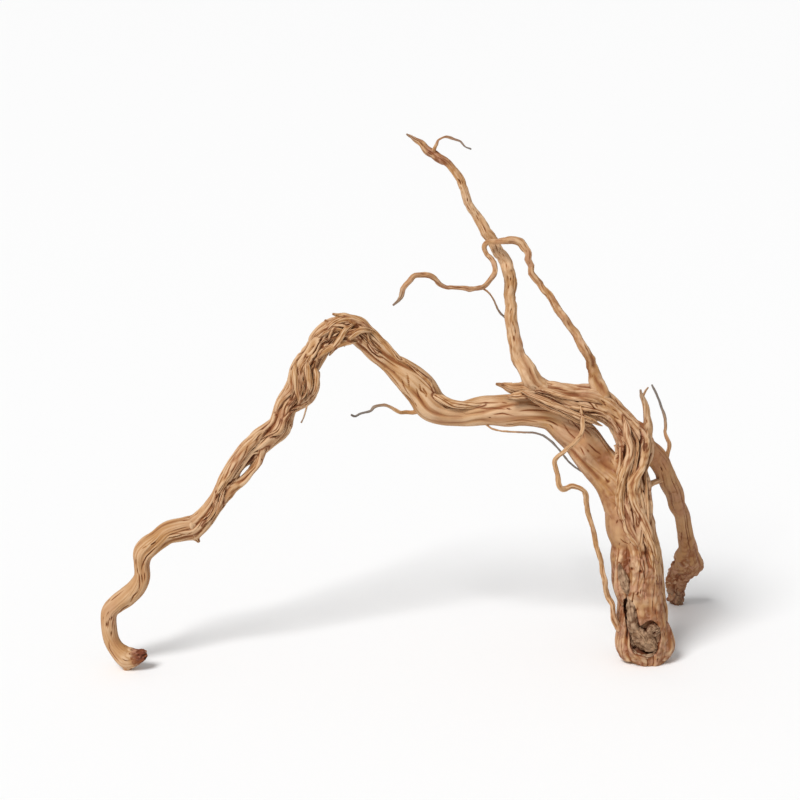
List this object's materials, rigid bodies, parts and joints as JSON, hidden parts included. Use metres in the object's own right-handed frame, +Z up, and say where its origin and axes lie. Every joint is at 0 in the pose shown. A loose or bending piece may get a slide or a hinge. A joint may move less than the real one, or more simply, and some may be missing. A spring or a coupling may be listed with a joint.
{
  "type": "aquarium root",
  "caption": "Branching driftwood root for an aquarium: a long knotted arm arches from a hollow stump, with a rear leg and thin curling branches, resting on low feet.",
  "frame": {"origin": "on the ground under the middle of the root", "axes": "+X along the long arm towards the stump, +Y away from the side with the hollow, +Z up"},
  "size_m": [0.4688, 0.1508, 0.3966],
  "materials": {
    "wood": "satin"
  },
  "bodies": {
    "root": {"aquarium_root": "wood"}
  },
  "joints": []
}
